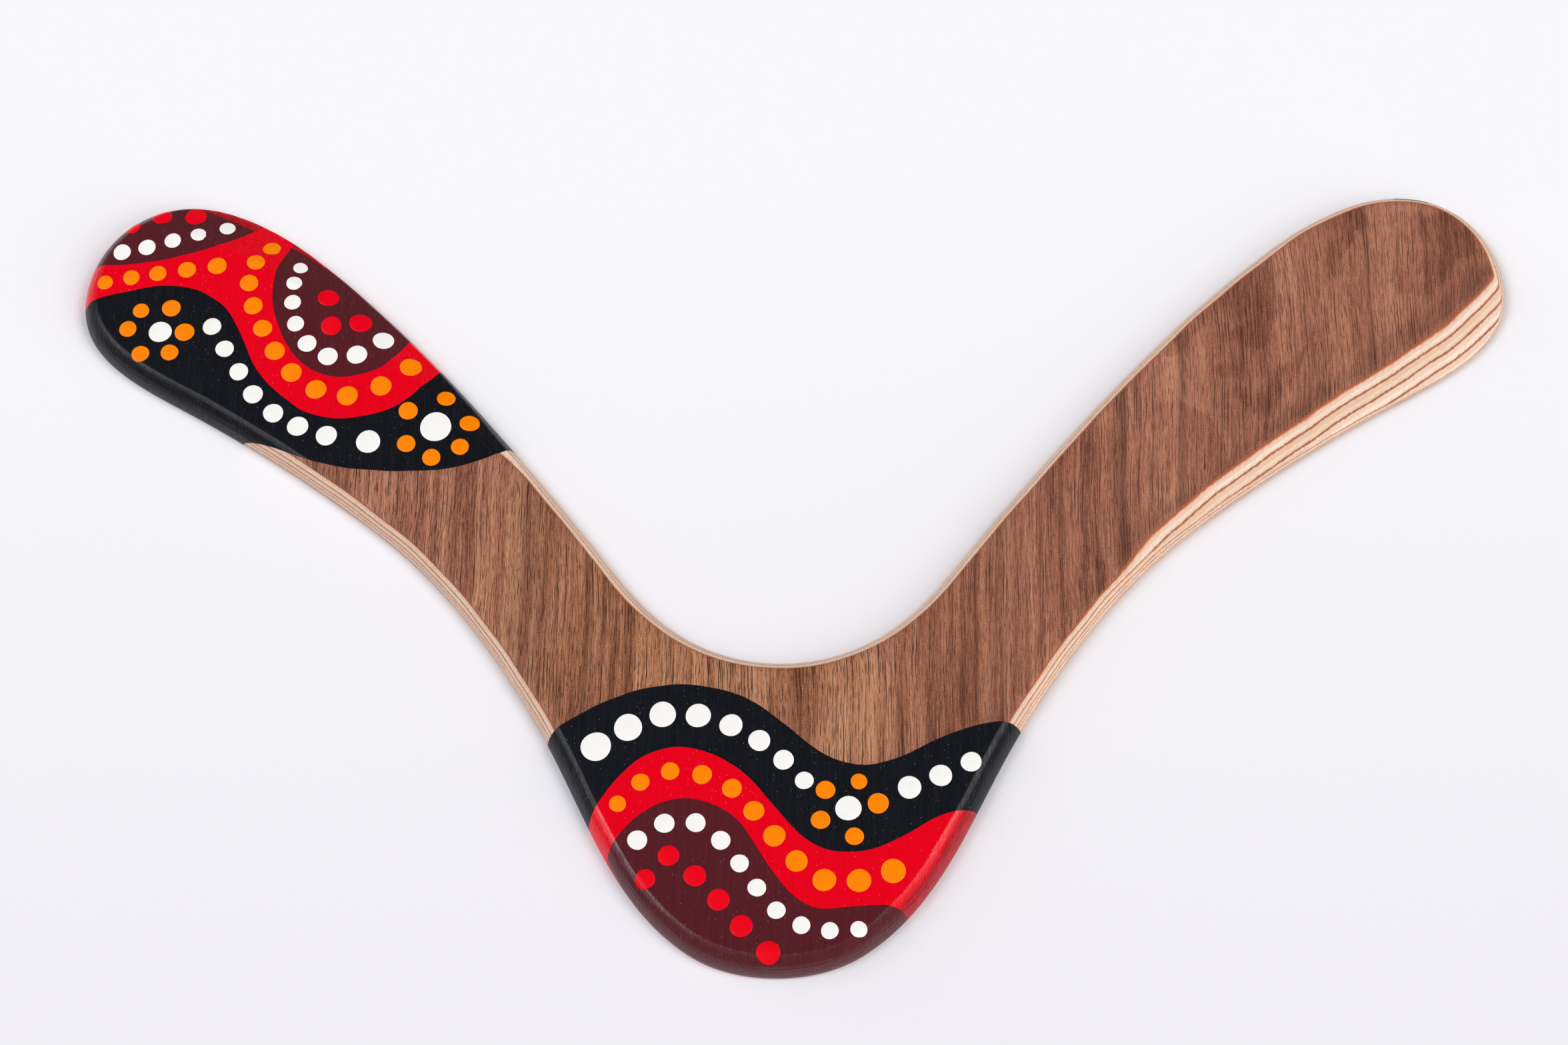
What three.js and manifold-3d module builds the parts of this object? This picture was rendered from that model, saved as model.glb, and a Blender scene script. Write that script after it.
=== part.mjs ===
// A two-armed returning boomerang, cut from walnut-faced birch plywood and painted at one tip
// and at the elbow. Right-handed: seen from its decorated top with the elbow towards you, the
// left arm leads with its outer edge and the right arm leads with its inner edge.
//
// Millimetres. +Z is up, the board lies flat on z = 0, +Y runs from the elbow to the tips and
// the two arms mirror each other about x = 0.

import * as THREE from 'three';
import Module from 'manifold-3d';

const DEG = Math.PI / 180;

// ---- the plywood: seven plies with a glue line between each two ----
const VENEER = 0.55;
const BIRCH_PLY = 1.0;
const BIRCH_PLIES = 5;
const GLUE_LINE = 0.1;
const PAINT_COAT = 0.15;
const THICKNESS = 2 * VENEER + BIRCH_PLIES * BIRCH_PLY + (BIRCH_PLIES + 1) * GLUE_LINE;

// ---- the plan: one half of the outline, as knots [x, y, heading in degrees] ----
// It starts at the bottom of the elbow, runs out along the trailing side to the tip, and comes
// back along the inner side to the middle of the inner elbow.
const HALF_OUTLINE = [
  [0, 0, 0],
  [23.5, 6.5, 34],
  [65, 69, 59.5],
  [112.5, 127, 38.5],
  [167, 164, 30],
  [202, 200.5, 91],
  [186.5, 227.5, 152.5],
  [134.5, 212.5, 219.5],
  [83, 160.5, 229.5],
  [49.5, 119, 233],
  [28, 96.5, 213.5],
  [0, 88, 180],
];

// ---- the edges ----
// All round, the top rolls over into the edge on a blunt superellipse that stands on a rim just
// above the underside. Each arm's trailing edge is then planed off by a long flat bevel, which
// starts at a crease on the top face.
const RIM_HEIGHT = 0.65;
const ROLL_WIDTH = 4.8;
const ROLL_POWER = 1.7;
const UNDERSIDE_EASE = 0.5;
const BEVEL_SLOPE = 21 * DEG;
const WIDEST_BEVEL = 18;

// The creases, as knots [x, y, heading]. Each runs from elbow to tip with the bevel on its right.
const RIGHT_CREASE = [
  [60, 60, 57],
  [102, 127, 45.5],
  [149.5, 165, 35.5],
  [177.2, 184.2, 36.5],
  [196, 202.1, 49.5],
  [206.4, 215.7, 55],
];
const LEFT_CREASE = [
  [-46, 111, 129],
  [-94, 162, 135],
  [-130, 195.5, 141],
  [-160, 214.5, 155],
  [-196, 229, 158],
];

// ---- the painted fields: the lines between two colours, all running left to right ----
// Each line starts and ends a little outside the outline.
const CAP_LINE = [
  [-206, 210.5, -6],
  [-190, 210, 4],
  [-167, 215, 20],
  [-148, 228, 42],
];
const TIP_BLACK_LINE = [
  [-207, 194, 32],
  [-190, 201, 11],
  [-176, 203, -4],
  [-161, 196.5, -45],
  [-151, 178.5, -62],
  [-138, 164.5, -36],
  [-123, 160.5, 4],
  [-107.5, 165.5, 37],
  [-93, 183, 55],
];
const HALF_DISC_LINE = [
  [-140, 224, -117],
  [-147, 203, -92],
  [-141, 183, -58],
  [-126, 173.5, 0],
  [-112, 178.5, 47],
  [-103, 194, 62],
];
const TIP_FOOT_LINE = [
  [-162, 158, -14],
  [-150.4, 154.7, -19],
  [-134, 148.2, -21],
  [-104, 144, 0],
  [-84, 147.5, 23],
  [-70, 155.5, 34],
];
const ELBOW_TOP_LINE = [
  [-66, 60, 62],
  [-54.5, 71, 31],
  [-27, 80, 0],
  [-4, 73, -36],
  [10, 61.5, -38],
  [23, 57, 0],
  [43, 64.5, 25],
  [60, 69.2, 0],
  [70, 65, -40],
];
const ELBOW_BLACK_LINE = [
  [-51, 32, 105],
  [-46, 49, 57],
  [-27, 62, 0],
  [-8, 53.5, -44],
  [5, 38.5, -47],
  [19, 32.5, 0],
  [35, 38, 31],
  [47.5, 44.1, 12],
  [57, 45.4, 2],
];
const ELBOW_RED_LINE = [
  [-45, 22, 112],
  [-41, 38.5, 51],
  [-25, 47.5, 0],
  [-8.5, 39, -54],
  [1, 24.5, -51],
  [13, 17, 0],
  [28, 18, -3],
  [38, 14, -34],
];

// ---- how finely the curves are faceted ----
const LONGEST_FACET = 14;
const FACET_TURN = 8 * DEG;

const COLOURS = {
  walnut: { color: '#7e5041', roughness: 0.55 },
  birch: { color: '#e6cfae', roughness: 0.6 },
  glue: { color: '#8a4a33', roughness: 0.6 },
  black: { color: '#0b0d16', roughness: 0.3 },
  red: { color: '#e00012', roughness: 0.3 },
  maroon: { color: '#4c1a1e', roughness: 0.3 },
};

function material(name) {
  return new THREE.MeshStandardMaterial({ ...COLOURS[name], metalness: 0 });
}

// A smooth path through knots [x, y, heading in degrees], as points.
function trace(knots) {
  const points = [];
  for (let i = 1; i < knots.length; i++) {
    const [x0, y0, heading0] = knots[i - 1];
    const [x1, y1, heading1] = knots[i];
    const chord = Math.hypot(x1 - x0, y1 - y0);
    const turn = (heading1 - heading0) * DEG;
    const handle = chord / (3 * Math.cos(turn / 4) ** 2);
    const start = new THREE.Vector2(x0, y0);
    const end = new THREE.Vector2(x1, y1);
    const leave = new THREE.Vector2(handle, 0).rotateAround(new THREE.Vector2(), heading0 * DEG);
    const arrive = new THREE.Vector2(-handle, 0).rotateAround(new THREE.Vector2(), heading1 * DEG);
    const span = new THREE.CubicBezierCurve(start, leave.add(start), arrive.add(end), end);
    const steps = Math.ceil(Math.max(chord / LONGEST_FACET, Math.abs(turn) / FACET_TURN));
    points.push(...span.getPoints(steps).slice(i === 1 ? 0 : 1));
  }
  return points;
}

// The whole outline, counter-clockwise, with the outward normal at each point.
function boardOutline() {
  const right = trace(HALF_OUTLINE);
  const left = right.slice(1, -1).reverse().map((p) => new THREE.Vector2(-p.x, p.y));
  const points = [...right, ...left];
  return points.map((point, i) => {
    const before = points[(i + points.length - 1) % points.length];
    const after = points[(i + 1) % points.length];
    const along = after.clone().sub(before).normalize();
    return { point, outward: new THREE.Vector2(along.y, -along.x) };
  });
}

// The points of an open path, moved to its right by a distance.
function offsetRight(points, distance) {
  return points.map((point, i) => {
    const before = points[Math.max(i - 1, 0)];
    const after = points[Math.min(i + 1, points.length - 1)];
    const along = after.clone().sub(before).normalize();
    return point.clone().add(new THREE.Vector2(along.y, -along.x).multiplyScalar(distance));
  });
}

// How far along a ray the path is crossed, or 0 where it isn't crossed within the limit.
function crossing(origin, direction, path, limit) {
  let nearest = 0;
  for (let i = 1; i < path.length; i++) {
    const side = path[i].clone().sub(path[i - 1]);
    const gap = path[i - 1].clone().sub(origin);
    const parallel = direction.cross(side);
    const reach = gap.cross(side) / parallel;
    const along = gap.cross(direction) / parallel;
    if (along >= 0 && along <= 1 && reach > 0 && reach < limit && reach > nearest) {
      nearest = reach;
    }
  }
  return nearest;
}

// How far the rolled edge is in from the outline at a height.
function rollInset(z) {
  if (z < RIM_HEIGHT) {
    const below = (RIM_HEIGHT - z) / RIM_HEIGHT;
    return UNDERSIDE_EASE * (1 - Math.sqrt(1 - below ** 2));
  }
  const above = Math.min((z - RIM_HEIGHT) / (THICKNESS - RIM_HEIGHT), 1);
  return ROLL_WIDTH * (1 - (1 - above ** ROLL_POWER) ** (1 / ROLL_POWER));
}

const outline = boardOutline();
const creases = [trace(RIGHT_CREASE), trace(LEFT_CREASE)];

// The board's section at a height: the outline, drawn in by the roll or the bevel.
function sectionAt(z) {
  const fall = (THICKNESS - z) / Math.tan(BEVEL_SLOPE);
  const bevels = creases.map((crease) => offsetRight(crease, fall));
  return outline.map(({ point, outward }) => {
    const inward = outward.clone().negate();
    const cuts = bevels.map((bevel) => crossing(point, inward, bevel, WIDEST_BEVEL));
    const inset = Math.max(rollInset(z), ...cuts);
    return point.clone().addScaledVector(inward, inset);
  });
}

// The triangles across a counter-clockwise ring. Earcut winds them all the same way.
function capTriangles(ring, facingUp) {
  const triangles = THREE.ShapeUtils.triangulateShape(ring, []);
  const areas = triangles.map((corners) => THREE.ShapeUtils.area(corners.map((i) => ring[i])));
  const windsUp = areas.reduce((sum, area) => sum + area, 0) > 0;
  return triangles.flatMap(([a, b, c]) => (windsUp === facingUp ? [a, b, c] : [a, c, b]));
}

// A closed solid through rings of equal length, each { z, ring }, from the lowest up.
function loft(sections) {
  const size = sections[0].ring.length;
  const positions = sections.flatMap(({ z, ring }) => ring.flatMap((p) => [p.x, p.y, z]));
  const index = capTriangles(sections[0].ring, false);
  for (let level = 1; level < sections.length; level++) {
    const low = (level - 1) * size;
    const high = level * size;
    for (let i = 0; i < size; i++) {
      const next = (i + 1) % size;
      index.push(low + i, low + next, high + next, low + i, high + next, high + i);
    }
  }
  const top = (sections.length - 1) * size;
  index.push(...capTriangles(sections.at(-1).ring, true).map((i) => i + top));
  const geometry = new THREE.BufferGeometry();
  geometry.setAttribute('position', new THREE.Float32BufferAttribute(positions, 3));
  geometry.setIndex(index);
  return geometry;
}

function prism(ring, bottom, top) {
  const upright = THREE.ShapeUtils.area(ring) > 0 ? ring : [...ring].reverse();
  return loft([{ z: bottom, ring: upright }, { z: top, ring: upright }]);
}

const wasm = await Module();
wasm.setup();

function solid(geometry) {
  return new wasm.Manifold(new wasm.Mesh({
    numProp: 3,
    vertProperties: new Float32Array(geometry.getAttribute('position').array),
    triVerts: new Uint32Array(geometry.getIndex().array),
  }));
}

function common(a, b) {
  const mesh = solid(a).intersect(solid(b)).getMesh();
  const geometry = new THREE.BufferGeometry();
  geometry.setAttribute('position', new THREE.BufferAttribute(mesh.vertProperties, 3));
  geometry.setIndex(new THREE.BufferAttribute(mesh.triVerts, 1));
  return geometry;
}

function named(name, geometry, colour) {
  geometry.computeVertexNormals();
  const mesh = new THREE.Mesh(geometry, material(colour));
  mesh.name = name;
  return mesh;
}

const board = new THREE.Group();

// ---- the plies and glue lines, from the underside up ----
// A veneer is lofted in thin slices, because the edge curves most where it meets a face.
const BACK_SLICES = [0, 0.3, 1];
const FACE_SLICES = [0, 0.55, 0.87, 1];
const PLAIN_SLICES = [0, 1];

let height = 0;
function addLayer(name, thickness, colour, slices) {
  const bottom = height;
  const levels = slices.map((part) => bottom + part * thickness);
  board.add(named(name, loft(levels.map((z) => ({ z, ring: sectionAt(z) }))), colour));
  height = bottom + thickness;
}

addLayer('walnut_back_veneer', VENEER, 'walnut', BACK_SLICES);
for (let ply = BIRCH_PLIES; ply >= 1; ply--) {
  addLayer(`glue_line_${ply + 1}`, GLUE_LINE, 'glue', PLAIN_SLICES);
  addLayer(`birch_ply_${ply}`, BIRCH_PLY, 'birch', PLAIN_SLICES);
}
addLayer('glue_line_1', GLUE_LINE, 'glue', PLAIN_SLICES);
addLayer('walnut_face_veneer', VENEER, 'walnut', FACE_SLICES);

// ---- the painted fields, on the flat of the top face ----
// Each field is closed outside the outline through corner points, then cut to the flat.
const flat = prism(sectionAt(THICKNESS), height, height + PAINT_COAT);

function addField(name, colour, ...edges) {
  const loop = edges.flatMap((edge) => edge.map(([x, y]) => new THREE.Vector2(x, y)));
  const field = prism(loop, height - 1, height + 1);
  board.add(named(name, common(field, flat), colour));
}

const path = (line) => trace(line).map((p) => [p.x, p.y]);
const back = (line) => path(line).reverse();

const ABOVE_TIP = [[-148, 245], [-215, 245]];
const ABOVE_HALF_DISC = [[-95, 215], [-120, 240]];
const LEFT_OF_TIP = [[-220, 190], [-215, 150]];

addField('maroon_tip_cap', 'maroon', path(CAP_LINE), ABOVE_TIP);
addField('red_tip_band', 'red', path(TIP_BLACK_LINE), back(HALF_DISC_LINE), back(CAP_LINE));
addField('maroon_tip_half_disc', 'maroon', path(HALF_DISC_LINE), ABOVE_HALF_DISC);
addField('black_tip_field', 'black', path(TIP_FOOT_LINE), back(TIP_BLACK_LINE), LEFT_OF_TIP);
addField('black_elbow_band', 'black', path(ELBOW_TOP_LINE), back(ELBOW_BLACK_LINE));
addField('red_elbow_band', 'red', path(ELBOW_BLACK_LINE), back(ELBOW_RED_LINE));
addField('maroon_elbow_field', 'maroon', path(ELBOW_RED_LINE), [[60, -15], [-60, -15]]);

// ---- the origin: under the middle of the outline's box ----
const depths = outline.map(({ point }) => point.y);
board.position.y = -(Math.min(...depths) + Math.max(...depths)) / 2;

const boomerang = new THREE.Group();
boomerang.add(board);

export default boomerang;
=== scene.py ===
import math

import bpy
import numpy as np
from mathutils import Matrix, Vector


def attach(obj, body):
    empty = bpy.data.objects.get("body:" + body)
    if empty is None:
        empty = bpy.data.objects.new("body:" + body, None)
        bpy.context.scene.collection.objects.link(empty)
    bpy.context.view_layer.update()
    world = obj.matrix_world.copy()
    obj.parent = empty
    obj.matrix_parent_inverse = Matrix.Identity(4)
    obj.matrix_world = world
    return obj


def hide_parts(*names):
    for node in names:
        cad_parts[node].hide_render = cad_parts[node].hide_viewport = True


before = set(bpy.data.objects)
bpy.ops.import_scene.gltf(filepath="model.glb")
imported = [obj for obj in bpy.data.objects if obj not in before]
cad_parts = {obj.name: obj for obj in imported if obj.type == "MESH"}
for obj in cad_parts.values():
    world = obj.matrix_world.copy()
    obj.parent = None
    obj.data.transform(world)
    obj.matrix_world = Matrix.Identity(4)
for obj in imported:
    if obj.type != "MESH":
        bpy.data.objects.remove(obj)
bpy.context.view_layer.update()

# Everything below is worked out in millimetres, in the outline's own coordinates: x across the
# two arms, y from the bottom of the elbow to the tips, z up from the underside. SHIFT_Y moves it
# into the frame, whose origin is under the middle of the outline. Materials work in the frame's
# own axes, in millimetres.
MM = 0.001

# ---- the board, as in the CAD source ----
VENEER = 0.55
BIRCH_PLY = 1.0
BIRCH_PLIES = 5
GLUE_LINE = 0.1
THICKNESS = 2 * VENEER + BIRCH_PLIES * BIRCH_PLY + (BIRCH_PLIES + 1) * GLUE_LINE
PLY_PITCH = BIRCH_PLY + GLUE_LINE
FIRST_GLUE = VENEER + GLUE_LINE / 2

HALF_OUTLINE = [
    (0, 0, 0), (23.5, 6.5, 34), (65, 69, 59.5), (112.5, 127, 38.5), (167, 164, 30),
    (202, 200.5, 91), (186.5, 227.5, 152.5), (134.5, 212.5, 219.5), (83, 160.5, 229.5),
    (49.5, 119, 233), (28, 96.5, 213.5), (0, 88, 180),
]
RIM_HEIGHT = 0.65
ROLL_WIDTH = 4.8
ROLL_POWER = 1.7
UNDERSIDE_EASE = 0.5
BEVEL_SLOPE = math.radians(21)
WIDEST_BEVEL = 18
RIGHT_CREASE = [
    (60, 60, 57), (102, 127, 45.5), (149.5, 165, 35.5), (177.2, 184.2, 36.5), (196, 202.1, 49.5),
    (206.4, 215.7, 55),
]
LEFT_CREASE = [
    (-46, 111, 129), (-94, 162, 135), (-130, 195.5, 141), (-160, 214.5, 155), (-196, 229, 158),
]
# Corners between the bevels and the roll are softened over this reach along the perimeter.
CREASE_BLUR = 0.9

# ---- the hand-sanded edge: wave lengths, and how far they lift the surface ----
LONG_WAVES = (18, 90)
LINE_WAVES = (9, 45)
LONG_LIFT = 0.032
LINE_LIFT = 0.022
# The small fall that measures how a bevel's edge moves, and how much of a lift moves the roll.
FALL_PROBE = 0.4
ROLL_SHARE = 0.7

# ---- the painted fields ----
CAP_LINE = [(-206, 210.5, -6), (-190, 210, 4), (-167, 215, 20), (-148, 228, 42)]
TIP_BLACK_LINE = [
    (-207, 194, 32), (-190, 201, 11), (-176, 203, -4), (-161, 196.5, -45), (-151, 178.5, -62),
    (-138, 164.5, -36), (-123, 160.5, 4), (-107.5, 165.5, 37), (-93, 183, 55),
]
HALF_DISC_LINE = [
    (-140, 224, -117), (-147, 203, -92), (-141, 183, -58), (-126, 173.5, 0), (-112, 178.5, 47),
    (-103, 194, 62),
]
TIP_FOOT_LINE = [
    (-162, 158, -14), (-150.4, 154.7, -19), (-134, 148.2, -21), (-104, 144, 0), (-84, 147.5, 23),
    (-70, 155.5, 34),
]
ELBOW_TOP_LINE = [
    (-66, 60, 62), (-54.5, 71, 31), (-27, 80, 0), (-4, 73, -36), (10, 61.5, -38), (23, 57, 0),
    (43, 64.5, 25), (60, 69.2, 0), (70, 65, -40),
]
ELBOW_BLACK_LINE = [
    (-51, 32, 105), (-46, 49, 57), (-27, 62, 0), (-8, 53.5, -44), (5, 38.5, -47), (19, 32.5, 0),
    (35, 38, 31), (47.5, 44.1, 12), (57, 45.4, 2),
]
ELBOW_RED_LINE = [
    (-45, 22, 112), (-41, 38.5, 51), (-25, 47.5, 0), (-8.5, 39, -54), (1, 24.5, -51), (13, 17, 0),
    (28, 18, -3), (38, 14, -34),
]

# ---- the dots: rows along a path (count, first and last radius, last gap over first gap) ----
DOT_ROWS = {
    "white_dots_tip_cap": ("white", [(-191.4, 214, 13), (-162.5, 222.8, 24)], 5, 2.5, 2.3, 1.1),
    "white_dots_tip_black": (
        "white", [(-163.5, 189.8, -58), (-150, 168.4, -54), (-128.3, 155, -18)], 7, 2.6, 3.0, 1.0),
    "white_dots_half_disc": (
        "white",
        [(-140.1, 209.6, -97), (-141.1, 197.9, -84), (-129, 179.7, -16), (-114.2, 185.2, 42)],
        8, 2.1, 3.0, 1.45),
    "white_dots_elbow_black": (
        "white", [(-48.9, 62.1, 36), (-30.3, 71.4, 8), (-13.9, 68.6, -22), (7.1, 52.4, -50)],
        8, 4.0, 2.5, 0.8),
    "white_dots_elbow_right": ("white", [(35, 50.5, 20), (51.2, 57.8, 28)], 3, 3.2, 2.8, 1.0),
    "white_dots_elbow_maroon": (
        "white",
        [(-37, 35.6, 42), (-25.5, 41.6, 0), (-12, 32.6, -50), (1.1, 15.7, -42), (14.5, 11.1, -4),
         (21.8, 11.2, 2)],
        10, 2.7, 2.2, 0.85),
    "orange_dots_tip_red": ("orange", [(-195.6, 204.1, 12), (-163.7, 209.4, 8)], 5, 2.2, 2.7, 1.15),
    "orange_dots_tip_bend": (
        "orange",
        [(-148.7, 216.2, -125), (-154.1, 205, -87), (-149.6, 190.1, -64), (-139.6, 175.1, -46),
         (-123.5, 167.3, 0), (-105.7, 176.8, 38)],
        11, 2.5, 3.1, 1.5),
    "orange_dots_elbow": (
        "orange",
        [(-42.4, 45.8, 58), (-26, 55.2, -2), (-6.5, 44.4, -52), (6.1, 29.5, -42), (16, 24, -3),
         (30.7, 27.2, 18)],
        11, 2.3, 3.3, 1.1),
    "red_dots_tip_cap": ("red", [(-189.4, 222.6, 30), (-181.4, 226, 12), (-171.8, 227, 0)],
                         3, 2.4, 3.1, 1.1),
    "red_dots_elbow": (
        "red", [(-28.5, 31.4, -32), (-14.9, 19.1, -52), (-1.6, 5.2, -42)], 5, 2.8, 3.1, 1.1),
}
# Dots that stand alone: colour, x, y, radius.
LONE_DOTS = {
    "white_dot_tip_foot": [("white", -116.3, 153.1, 3.4)],
    "red_dots_half_disc": [
        ("red", -130.9, 199.1, 2.9), ("red", -129.3, 189.7, 2.9), ("red", -121.1, 190.9, 3.2)],
    "red_dot_elbow_left": [("red", -34.5, 25, 2.7)],
}
# Rosettes: centre, its radius, the ring's centre and radius, each petal's angle and radius.
ROSETTES = {
    "rosette_tip": (
        (-178.2, 188.1), 3.2, (-179.4, 188.4), 8.2,
        [(175, 2.5), (127, 2.3), (63, 2.6), (-3, 2.75), (-57, 2.55), (-118, 2.5)]),
    "rosette_tip_foot": (
        (-97.6, 157.6), 4.4, (-97.6, 157.6), 9.5,
        [(148, 2.75), (76, 2.55), (8, 2.75), (-41, 2.5), (-94, 2.55), (-147, 2.6)]),
    "rosette_elbow": (
        (18.8, 44.7), 3.4, (18.8, 44.7), 8.0,
        [(70, 2.2), (10, 2.8), (-78, 2.4), (-156, 2.5), (140, 2.6)]),
}
# Dark streaks in the walnut: where across, half as wide as this, and how deep.
WALNUT_STREAKS = [(93.5, 2.6, 1.0), (111, 2.2, 0.9), (163, 1.8, 0.6), (-52, 2.0, 0.6),
                  (-70, 9.0, 0.6), (60, 9.0, 0.4)]

# Two points of the right crease, for the darker wood beside it.
CREASE_FROM, CREASE_TO = RIGHT_CREASE[1][:2], RIGHT_CREASE[4][:2]

# ---- how finely things are modelled ----
OUTLINE_STEP = 0.75
CREASE_STEP = 1.5
PAINT_LINE_STEP = 0.7
DOT_ROW_STEP = 0.5
SHARP_ANGLE = 28
DOT_SHARP_ANGLE = 24

# ---- paint films, the ridge over a glue line, and the raised dots ----
PAINT_FILM = {"black": 0.06, "red": 0.085, "maroon": 0.07}
PAINT_FOOT = 0.15
PAINT_WANDER = 0.07
PLY_RIDGE = 0.018
DOT_RISE = 0.13
DOT_SINK = 0.3
DOT_SEGMENTS = 28
DOT_RINGS = (0.965, 0.88, 0.72, 0.5, 0.25)
DOT_CLEARANCE = 0.02
DOT_SCATTER = 0.1

rng = np.random.default_rng(7)


def srgb(r, g, b):
    """A display colour from 0 to 255 as a linear one."""
    c = np.array([r, g, b]) / 255
    linear = np.where(c <= 0.04045, c / 12.92, ((c + 0.055) / 1.055) ** 2.4)
    return (*[float(x) for x in linear], 1.0)


# ======================================================================= geometry
def trace(knots, step):
    """A smooth path through knots (x, y, heading in degrees), as points about step apart."""
    points = []
    for (x0, y0, h0), (x1, y1, h1) in zip(knots, knots[1:]):
        start, end = np.array([x0, y0], float), np.array([x1, y1], float)
        chord = np.linalg.norm(end - start)
        handle = chord / (3 * math.cos(math.radians(h1 - h0) / 4) ** 2)
        leave = start + handle * np.array([math.cos(math.radians(h0)), math.sin(math.radians(h0))])
        arrive = end - handle * np.array([math.cos(math.radians(h1)), math.sin(math.radians(h1))])
        t = np.linspace(0, 1, max(int(chord / step * 1.1), 2), endpoint=False)[:, None]
        points.append(
            (1 - t) ** 3 * start + 3 * t * (1 - t) ** 2 * leave
            + 3 * t**2 * (1 - t) * arrive + t**3 * end)
    points.append(np.array([knots[-1][:2]], float))
    return np.concatenate(points)


def evenly(points, count, last_over_first=1.0):
    """Points along a path, with gaps that grow or shrink evenly from the first to the last."""
    run = np.r_[0, np.cumsum(np.linalg.norm(np.diff(points, axis=0), axis=1))]
    gaps = np.linspace(1, last_over_first, count - 1) if count > 1 else np.zeros(0)
    at = np.r_[0, np.cumsum(gaps)] / max(gaps.sum(), 1e-9) * run[-1]
    return np.stack([np.interp(at, run, points[:, k]) for k in (0, 1)], -1)


def closed_outline():
    """The outline as evenly spaced points, and its length."""
    right = trace(HALF_OUTLINE, 0.2)
    left = right[1:-1][::-1] * (-1, 1)
    loop = np.concatenate([right, left, right[:1]])
    length = np.linalg.norm(np.diff(loop, axis=0), axis=1).sum()
    return evenly(loop, int(length / OUTLINE_STEP) + 1)[:-1], length


outline, perimeter = closed_outline()
along = np.roll(outline, -1, 0) - np.roll(outline, 1, 0)
along /= np.linalg.norm(along, axis=1, keepdims=True)
outward = np.stack([along[:, 1], -along[:, 0]], -1)
SHIFT_Y = -(outline[:, 1].min() + outline[:, 1].max()) / 2
around = np.arange(len(outline)) / len(outline)


def ripple(shortest, longest, waves=26):
    """A smooth random wave round the perimeter, of unit deviation, from waves of these lengths."""
    counts = rng.integers(int(perimeter / longest), int(perimeter / shortest), waves)
    phases = rng.uniform(0, 2 * math.pi, waves)
    sizes = rng.uniform(0.4, 1, waves)
    turns = 2 * math.pi * counts[:, None] * around
    wave = (sizes[:, None] * np.cos(turns + phases[:, None])).sum(0)
    return wave / wave.std()


def smooth_round(values, reach):
    """Values round the perimeter, blurred over a reach in millimetres."""
    spectrum = np.fft.rfft(values)
    wave_number = 2 * math.pi * np.arange(len(spectrum)) / perimeter
    return np.fft.irfft(spectrum * np.exp(-(wave_number * reach) ** 2 / 2), len(values))


def offset_right(points, distance):
    """A path moved to its right by a distance."""
    ahead = np.vstack([points[1:], points[-1:]]) - np.vstack([points[:1], points[:-1]])
    ahead /= np.linalg.norm(ahead, axis=1, keepdims=True)
    return points + distance * np.stack([ahead[:, 1], -ahead[:, 0]], -1)


def bevel_cut(path, fall):
    """How far in from each outline point its inward ray meets the crease moved right by fall."""
    line = offset_right(path, fall)
    side = np.diff(line, axis=0)
    gap = line[None, :-1] - outline[:, None]
    ray = -outward[:, None]

    def cross(a, b):
        return a[..., 0] * b[..., 1] - a[..., 1] * b[..., 0]

    parallel = cross(ray, side[None])
    parallel = np.where(abs(parallel) < 1e-9, 1e-9, parallel)
    reach = cross(gap, side[None]) / parallel
    share = cross(gap, ray) / parallel
    hit = (share >= 0) & (share <= 1) & (reach > 0) & (reach < WIDEST_BEVEL)
    return np.where(hit, reach, 0).max(1)


def roll_inset(z):
    """How far the rolled rim, or the eased underside, is in from the outline at a height."""
    if z < RIM_HEIGHT:
        return UNDERSIDE_EASE * (1 - math.sqrt(1 - ((RIM_HEIGHT - z) / RIM_HEIGHT) ** 2))
    up = min((z - RIM_HEIGHT) / (THICKNESS - RIM_HEIGHT), 1)
    return ROLL_WIDTH * (1 - (1 - up**ROLL_POWER) ** (1 / ROLL_POWER))


creases = [trace(RIGHT_CREASE, CREASE_STEP), trace(LEFT_CREASE, CREASE_STEP)]
# The hand-sanded edge: a long wave that all levels share, and a shorter one at each glue line.
sanding = ripple(*LONG_WAVES)
line_waves = [ripple(*LINE_WAVES) for _ in range(BIRCH_PLIES + 3)]


def waviness(z):
    """How far the sanded surface strays at a height, as a lift in millimetres."""
    at = min(max((z - FIRST_GLUE) / PLY_PITCH + 1, 0), BIRCH_PLIES + 1.999)
    low = int(at)
    mixed = line_waves[low] * (1 - at + low) + line_waves[low + 1] * (at - low)
    return LONG_LIFT * sanding + LINE_LIFT * mixed


def section(z):
    """The board's outline at a height, as points."""
    wave = waviness(z)
    cuts = np.zeros(len(outline))
    for crease in creases:
        fall = (THICKNESS - z) / math.tan(BEVEL_SLOPE)
        here = bevel_cut(crease, fall)
        deeper = bevel_cut(crease, fall - FALL_PROBE)
        slope = np.where((here > 0) & (deeper > 0), (deeper - here) / FALL_PROBE, 0)
        cuts = np.maximum(cuts, here + slope * wave / math.tan(BEVEL_SLOPE))
    share = (z - RIM_HEIGHT) / (THICKNESS - RIM_HEIGHT)
    fade = 4 * max(share, 0) * max(1 - share, 0)
    roll = roll_inset(z) * (1 + 0.02 * sanding) + ROLL_SHARE * fade * wave
    inset = smooth_round(np.maximum(np.maximum(roll, cuts), 0), CREASE_BLUR)
    return outline - outward * np.maximum(inset, 0)[:, None]


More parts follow.
